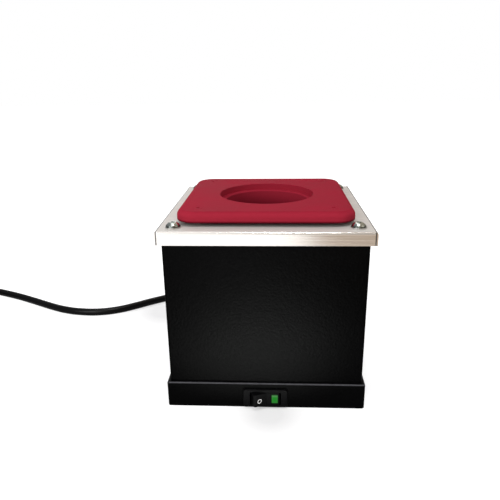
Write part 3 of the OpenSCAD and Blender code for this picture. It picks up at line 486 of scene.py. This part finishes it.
def eased(node, name, width, material, body=CASE, sharp=35.0):
    """Puts a merged copy of a CAD node in its place, with its sharp edges eased"""
    piece = bpy.data.objects.new(name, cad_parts[node].data.copy())
    bpy.context.collection.objects.link(piece)
    only(piece)
    bpy.ops.object.mode_set(mode="EDIT")
    bpy.ops.mesh.select_all(action="SELECT")
    bpy.ops.mesh.remove_doubles(threshold=MICRON)
    bpy.ops.mesh.dissolve_limited(angle_limit=math.radians(0.5))
    bpy.ops.mesh.select_all(action="DESELECT")
    bpy.ops.object.mode_set(mode="OBJECT")
    edges = piece.modifiers.new("eased_edges", "BEVEL")
    edges.width = width
    edges.segments = 2
    edges.limit_method = "ANGLE"
    edges.angle_limit = math.radians(sharp)
    bpy.ops.object.modifier_apply(modifier=edges.name)
    bpy.ops.object.shade_smooth_by_angle(angle=math.radians(sharp))
    flats = piece.modifiers.new("level_flats", "WEIGHTED_NORMAL")
    flats.keep_sharp = True
    bpy.ops.object.modifier_apply(modifier=flats.name)
    piece.data.materials.clear()
    piece.data.materials.append(material)
    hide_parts(node)
    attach(piece, body)


def just_above(height):
    """The two heights that painted shade fades between, above a seam"""
    return height + 0.2 * MM, height + 1.6 * MM


# ----------------------------------------------------------------- lead


def coil_points(turns, diameter):
    """The coil's line: half its turns inwards along the table, then up a diameter over
    the part turn that is left, and the other half outwards"""
    layer = turns / 2
    first_angle, last_angle = COIL_ANGLES
    rise = (last_angle - first_angle) / 360
    whole = turns + rise
    steps = int(whole * POINTS_PER_TURN)
    points = []
    for step in range(steps + 1):
        turn = whole * step / steps
        ahead = whole - turn
        radius = COIL_RADIUS - COIL_STEP * min(turn, ahead, layer)
        radius += COIL_SWING * (math.exp(-7 * turn) + math.exp(-9 * ahead))
        climb = min(max((turn - layer) / rise, 0), 1)
        height = COIL_HEIGHT + diameter / MM * climb * climb * (3 - 2 * climb)
        angle = math.radians(first_angle + 360 * turn)
        points.append((COIL_CENTRE[0] + radius * math.cos(angle),
                       COIL_CENTRE[1] + radius * math.sin(angle), height))
    return points


def tube_along(name, points, diameter, material):
    """A round curve through points in millimetres"""
    curve = bpy.data.curves.new(name, "CURVE")
    curve.dimensions = "3D"
    curve.bevel_depth = diameter / 2
    curve.bevel_resolution = 5
    curve.resolution_u = 5
    curve.use_fill_caps = True
    spline = curve.splines.new("BEZIER")
    spline.bezier_points.add(len(points) - 1)
    for point, place in zip(spline.bezier_points, points):
        point.co = Vector(place) * MM
        point.handle_left_type = point.handle_right_type = "AUTO"
    curve.materials.append(material)
    tube = bpy.data.objects.new(name, curve)
    bpy.context.collection.objects.link(tube)
    return tube


class SOLDERPOT_OT_lead(bpy.types.Operator):
    """Lay the mains lead, its stored coil and its plug"""

    bl_idname = "solderpot.lead"
    bl_label = "Mains lead"

    def execute(self, context):
        sizes = context.scene.pot_lead
        plastic = context.scene.pot_finishes.plastic
        rubber = moulded_plastic("lead_pvc", plastic, roughness=0.3, grain=1400, specular=0.16)
        route = LEAD_ROUTE + coil_points(sizes.coil_turns, sizes.diameter) + PLUG_ROUTE
        lead = tube_along("mains_lead", route, sizes.diameter, rubber)
        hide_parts("power_cord", "cord_coil", "plug_lead")
        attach(lead, CASE)
        dress(rubber, "cord_tail", "plug_body", "strain_relief", "wire_grommet", "relief_nut")
        pins = bright_metal("pin_nickel", (0.78, 0.77, 0.74), 0.22)
        dress(pins, "plug_pins", "plug_clips")
        return {"FINISHED"}


# --------------------------------------------------------------- pieces


class SOLDERPOT_OT_case(bpy.types.Operator):
    """Finish the base, its bottom plate and the sleeve"""

    bl_idname = "solderpot.case"
    bl_label = "Case"

    def execute(self, context):
        colour = context.scene.pot_finishes.black_coat
        sleeve_coat = powder_coat("sleeve_powder_coat", colour, 640)
        base_coat = powder_coat("base_powder_coat", colour, 1100)
        eased("sleeve", "case_sleeve", 0.12 * MM, sleeve_coat)
        eased("base_pan", "case_base", 0.12 * MM, base_coat)
        dress(base_coat, "bottom_plate", "seam_strap")
        dress(zinc_plate("fixing_zinc"), "bottom_brackets", "bottom_screws", "corner_posts", "post_screws")
        return {"FINISHED"}


class SOLDERPOT_OT_cover(bpy.types.Operator):
    """Finish the steel cover with its screws and washers"""

    bl_idname = "solderpot.cover"
    bl_label = "Cover"

    def execute(self, context):
        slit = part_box("cover")[1].x - SLIT_INSET * MM
        steel = brushed_steel("cover_brushed_steel", context.scene.pot_finishes.steel, slit)
        eased("cover", "steel_cover", 0.4 * MM, steel)
        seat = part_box("cover_washers")[1].z
        # Painted reflection: the screws' slight green tint. Painted shade: darker downwards towards their
        # washers
        bright = bright_metal("screw_nickel", (0.70, 0.76, 0.72), 0.14, just_above(seat))
        eased("cover_screws", "cover_domed_screws", 0.15 * MM, bright, sharp=25)
        plated = bright_metal("washer_nickel", TIN, 0.26)
        eased("cover_washers", "cover_screw_washers", 0.12 * MM, plated)
        return {"FINISHED"}


class SOLDERPOT_OT_crucible(bpy.types.Operator):
    """Finish the coated plate, its screws and the crucible"""

    bl_idname = "solderpot.crucible"
    bl_label = "Plate and crucible"

    def execute(self, context):
        red = context.scene.pot_finishes.red_coat
        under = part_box("top_plate")[0].z
        # Painted shade along the plate's lower edge
        plate_coat = heat_coat("plate_heat_coat", red, just_above(under))
        eased("top_plate", "red_plate", 0.5 * MM, plate_coat)
        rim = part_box("crucible")[1].z
        # Painted shade: the crucible's red a little darker than the plate's, and darker still downwards into
        # the pot
        painted_shade_span = (rim - 20 * MM, rim - 3 * MM)
        crucible_coat = heat_coat("crucible_heat_coat", shade(red, 0.95), painted_shade_span)
        eased("crucible", "red_crucible", 0.4 * MM, crucible_coat)
        screw_coat = heat_coat("screw_heat_coat", red)
        eased("plate_screws", "red_plate_screws", 0.12 * MM, screw_coat)
        dress(zinc_plate("spacer_zinc"), "plate_spacers", "plate_nuts")
        return {"FINISHED"}


class SOLDERPOT_OT_heater(bpy.types.Operator):
    """Finish the heater, its insulation and its can"""

    bl_idname = "solderpot.heater"
    bl_label = "Heater and insulation"

    def execute(self, context):
        dress(zinc_plate("can_sheet", (0.45, 0.44, 0.42)), "insulation_can")
        dress(fibre_felt("ceramic_fibre", (0.78, 0.76, 0.71)), "insulation_blanket", "insulation_pad")
        dress(bright_metal("heater_jacket", (0.48, 0.44, 0.38), 0.45), "band_heater")
        dress(zinc_plate("clamp_zinc"), "clamp_bolts", "clamp_nuts")
        dress(moulded_plastic("bush_ceramic", (0.80, 0.78, 0.72), 0.25, 600), "heater_bushes")
        dress(bright_metal("stud_brass", BRASS, 0.28), "heater_studs")
        dress(woven_sleeving("glass_sleeving", (0.72, 0.69, 0.58)), "heater_leads")
        return {"FINISHED"}


class SOLDERPOT_OT_switch(bpy.types.Operator):
    """Finish the rocker switch and print the ring on its left half"""

    bl_idname = "solderpot.switch"
    bl_label = "Switch"

    def execute(self, context):
        finishes = context.scene.pot_finishes
        black = moulded_plastic("switch_plastic", finishes.plastic, 0.34, 2200, 0.05)
        eased("switch_housing", "switch_frame", 0.15 * MM, black)
        eased("rocker", "switch_rocker", 0.3 * MM, black, body=ROCKER, sharp=15)
        green = painted_glow_window("window_green", finishes.window, *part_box("rocker_lens"))
        eased("rocker_lens", "switch_window", 0.3 * MM, green, body=ROCKER)
        dress(clear_glass("lamp_glass"), "pilot_lamp")
        dress(bright_metal("tab_brass", BRASS, 0.3), "switch_tabs")
        dress(bright_metal("socket_tin", TIN, 0.32), "tab_sockets")
        self.print_ring()
        return {"FINISHED"}

    def print_ring(self):
        """A flat oval ring of white ink on the facet that stands out"""
        bpy.ops.object.select_all(action="DESELECT")
        bpy.ops.mesh.primitive_torus_add(
            major_radius=RING_RADIUS * MM, minor_radius=RING_STROKE * MM,
            major_segments=48, minor_segments=12)
        ring = bpy.context.object
        ring.name = "rocker_ring"
        bpy.ops.object.mode_set(mode="EDIT")
        bpy.ops.mesh.select_all(action="SELECT")
        bpy.ops.transform.resize(value=RING_STRETCH)
        bpy.ops.object.mode_set(mode="OBJECT")
        slope = math.radians(RING_SLOPE)
        lean = Matrix.Rotation(math.radians(RING_LEAN), 4, "Z")
        upright = Matrix.Rotation(math.radians(90), 4, "X")
        corner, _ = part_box("rocker")
        place = Matrix.Translation(corner + Vector(RING_PLACE) * MM)
        ring.data.transform(place @ Matrix.Rotation(slope, 4, "Z") @ upright @ lean)
        ring.data.materials.append(moulded_plastic("ring_ink", (0.97, 0.97, 0.98), 0.5, 900))
        bpy.ops.object.shade_smooth()
        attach(ring, ROCKER)


class SOLDERPOT_OT_wiring(bpy.types.Operator):
    """Finish the wiring inside the base"""

    bl_idname = "solderpot.wiring"
    bl_label = "Wiring"

    def execute(self, context):
        dress(moulded_plastic("wire_brown", (0.16, 0.06, 0.02)), "live_core", "switch_lead")
        dress(moulded_plastic("wire_blue", (0.03, 0.12, 0.40)), "neutral_core", "lamp_lead")
        dress(striped_wire("wire_earth", (0.10, 0.42, 0.05), (0.75, 0.62, 0.04)), "earth_core")
        dress(moulded_plastic("block_plastic", (0.80, 0.78, 0.70), 0.45), "terminal_block")
        dress(bright_metal("block_brass", BRASS, 0.3), "terminal_screws")
        dress(zinc_plate("block_zinc"), "block_screws", "earth_stud", "earth_nut", "earth_tag")
        return {"FINISHED"}


# --------------------------------------------------------------- studio


def seen_ray(tree):
    """1 for camera, glossy and transmitted rays, 0 for light that bounces"""
    path = tree.nodes.new("ShaderNodeLightPath")
    total = path.outputs["Is Camera Ray"]
    for name in ("Is Glossy Ray", "Is Transmission Ray"):
        larger = tree.nodes.new("ShaderNodeMath")
        larger.operation = "MAXIMUM"
        tree.links.new(total, larger.inputs[0])
        tree.links.new(path.outputs[name], larger.inputs[1])
        total = larger.outputs["Value"]
    return total


def mix_shaders(tree, factor, first, second):
    """One shader where factor is 0 and another where it is 1"""
    mixer = tree.nodes.new("ShaderNodeMixShader")
    for output, socket in zip((factor, first, second), mixer.inputs):
        tree.links.new(output, socket)
    return mixer.outputs[0]


def table_shown(floor, place):
    """What the camera sees of the table: a white glow, warmer to the right and weaker by the
    case as painted shadow, over a diffuse skin that takes soft shadows"""
    glow = floor.node("Emission")
    from_switch = floor.distance(SWITCH_FOOT)
    # Painted shadow: the glow is weaker near the switch and near the lead
    shaded = floor.math("MINIMUM", floor.spread(from_switch, 0.008, 0.034, 0.4, 0.7),
                        floor.spread(floor.distance(LEAD_FOOT), 0.012, 0.045, 0.34, 0.7))
    further = floor.spread(from_switch, 0.1, 0.5, 0.0, 0.25)
    floor.join(floor.math("ADD", shaded, further), glow.inputs["Strength"])
    warmer = floor.blend(floor.spread(place["X"], 0.12, 0.6), (1.0, 1.0, 1.0), (1.0, 0.985, 0.93))
    floor.join(warmer, glow.inputs["Color"])
    skin = floor.node("BsdfDiffuse")
    skin.inputs["Color"].default_value = (0.56, 0.56, 0.57, 1)
    both = floor.node("AddShader")
    floor.join(glow.outputs[0], both.inputs[0])
    floor.join(skin.outputs[0], both.inputs[1])
    return both.outputs[0]


def table_mirrored(floor, place):
    """What reflections see of the table, as painted reflections: dim, with a bright front that
    turns beige to the right, and a painted pool of light in front of the case"""
    glow = floor.node("Emission")
    front = floor.blend(floor.spread(place["X"], 0.044, 0.062), (1.9, 1.88, 1.86), (0.58, 0.44, 0.31))
    plain = floor.blend(floor.spread(place["Y"], -0.34, -0.31), front, (0.35, 0.35, 0.35))
    pool = floor.spread(floor.distance(POOL_CENTRE), 0.09, 0.02)
    floor.join(floor.blend(pool, plain, (9.0, 9.2, 8.9)), glow.inputs["Color"])
    return glow.outputs[0]


def floor_finish():
    """Pale table top, which the camera, reflections and bounced light each see differently"""
    floor = Finish("table_top", (0.80, 0.79, 0.77), roughness=0.6, specular=0.1)
    grain = floor.noise(400, detail=2)
    floor.drive(floor.blend(grain, (0.78, 0.77, 0.75), (0.82, 0.81, 0.79)), "Base Color")
    place = floor.place()
    path = floor.node("LightPath")
    seen = mix_shaders(floor.tree, path.outputs["Is Glossy Ray"],
                       table_shown(floor, place), table_mirrored(floor, place))
    surface = mix_shaders(floor.tree, seen_ray(floor.tree), floor.skin.outputs[0], seen)
    floor.join(surface, floor.tree.nodes["Material Output"].inputs["Surface"])
    return floor.material


def side_tones(tree):
    """The room's colour in reflections, from its left side to its right"""
    where = tree.nodes.new("ShaderNodeTexCoord")
    axes = tree.nodes.new("ShaderNodeSeparateXYZ")
    tree.links.new(where.outputs["Generated"], axes.inputs["Vector"])
    half = tree.nodes.new("ShaderNodeMapRange")
    half.inputs["From Min"].default_value = -1
    tree.links.new(axes.outputs["X"], half.inputs["Value"])
    tones = tree.nodes.new("ShaderNodeValToRGB")
    stops = tones.color_ramp.elements
    stops.remove(stops[1])
    for place, colour in ROOM_TONES:
        stops.new(place).color = (*colour, 1)
    stops.remove(stops[0])
    tree.links.new(half.outputs["Result"], tones.inputs["Fac"])
    return tones.outputs["Color"]


def room_light():
    """White surroundings: plain light, darker to the right in reflections"""
    world = bpy.data.worlds.new("studio_room")
    bpy.context.scene.world = world
    world.use_nodes = True
    tree = world.node_tree
    tree.nodes.clear()
    fill, mirrored, white = [tree.nodes.new("ShaderNodeBackground") for _ in range(3)]
    fill.inputs["Color"].default_value = (1, 0.99, 0.98, 1)
    fill.inputs["Strength"].default_value = 0.55
    tree.links.new(side_tones(tree), mirrored.inputs["Color"])
    white.inputs["Color"].default_value = (1, 1, 1, 1)
    path = tree.nodes.new("ShaderNodeLightPath")
    unseen = mix_shaders(tree, path.outputs["Is Glossy Ray"], fill.outputs[0], mirrored.outputs[0])
    room = mix_shaders(tree, path.outputs["Is Camera Ray"], unseen, white.outputs[0])
    tree.links.new(room, tree.nodes.new("ShaderNodeOutputWorld").inputs["Surface"])


def lamp(name, place, target, size, power, colour=(1, 1, 1)):
    """A square soft lamp that faces a point"""
    bpy.ops.object.light_add(type="AREA", location=place)
    light = bpy.context.object
    light.name = name
    light.data.size = size
    light.data.energy = power
    light.data.color = colour
    light.rotation_euler = (Vector(target) - Vector(place)).to_track_quat("-Z", "Y").to_euler()


class SOLDERPOT_OT_studio(bpy.types.Operator):
    """Set up the camera, table, room light and lamps"""

    bl_idname = "solderpot.studio"
    bl_label = "Studio"

    def execute(self, context):
        sizes = context.scene.pot_studio
        bpy.ops.object.select_all(action="DESELECT")
        bpy.ops.object.camera_add(location=sizes.camera_place)
        camera = bpy.context.object
        camera.name = "studio_camera"
        yaw, pitch, roll = sizes.camera_turn
        turn = Matrix.Rotation(yaw, 3, "Z") @ Matrix.Rotation(math.pi / 2 - pitch, 3, "X")
        camera.rotation_euler = (turn @ Matrix.Rotation(roll, 3, "Z")).to_euler()
        camera.data.sensor_width = 36
        camera.data.lens = sizes.focal_length
        camera.data.clip_start = 0.01
        context.scene.camera = camera
        bpy.ops.mesh.primitive_plane_add(size=TABLE_SIZE)
        table = bpy.context.object
        table.name = "studio_table"
        table.data.materials.append(floor_finish())
        room_light()
        lamp("window_lamp", (-0.42, -0.5, 0.42), (-0.02, 0, 0.1), 0.35, sizes.key_power, (1, 0.99, 0.98))
        lamp("ceiling_lamp", (0.05, -0.25, 1.35), (0, 0, 0.1), 0.22, 4.0)
        lamp("fill_lamp", (0.9, -0.3, 0.8), (0, 0, 0.06), 0.6, 0.8, (1, 0.90, 0.78))
        context.scene.view_settings.view_transform = "Standard"
        return {"FINISHED"}


class SOLDERPOT_PT_panel(bpy.types.Panel):
    """Buttons for each part of the solder pot"""

    bl_label = "Solder Pot"
    bl_idname = "SOLDERPOT_PT_panel"
    bl_space_type = "VIEW_3D"
    bl_region_type = "UI"
    bl_category = "Solder Pot"

    def draw(self, context):
        for group_name in GROUPS:
            group = getattr(context.scene, group_name)
            for name in group.bl_rna.properties.keys():
                if name not in ("rna_type", "name"):
                    self.layout.prop(group, name)
        for step in STEPS:
            self.layout.operator(step.bl_idname)


STEPS = (
    SOLDERPOT_OT_studio, SOLDERPOT_OT_lead, SOLDERPOT_OT_case, SOLDERPOT_OT_cover,
    SOLDERPOT_OT_crucible, SOLDERPOT_OT_heater, SOLDERPOT_OT_switch, SOLDERPOT_OT_wiring,
)
GROUPS = {"pot_finishes": PotFinishes, "pot_lead": LeadSizes, "pot_studio": StudioSizes}


def register():
    for kind in (*GROUPS.values(), *STEPS, SOLDERPOT_PT_panel):
        bpy.utils.register_class(kind)
    for name, kind in GROUPS.items():
        setattr(bpy.types.Scene, name, bpy.props.PointerProperty(type=kind))


def unregister():
    for name in GROUPS:
        delattr(bpy.types.Scene, name)
    for kind in reversed((*GROUPS.values(), *STEPS, SOLDERPOT_PT_panel)):
        bpy.utils.unregister_class(kind)


def main():
    """Makes the whole scene"""
    register()
    for step in STEPS:
        group, name = step.bl_idname.split(".")
        getattr(getattr(bpy.ops, group), name)()


if __name__ == "__main__":
    main()
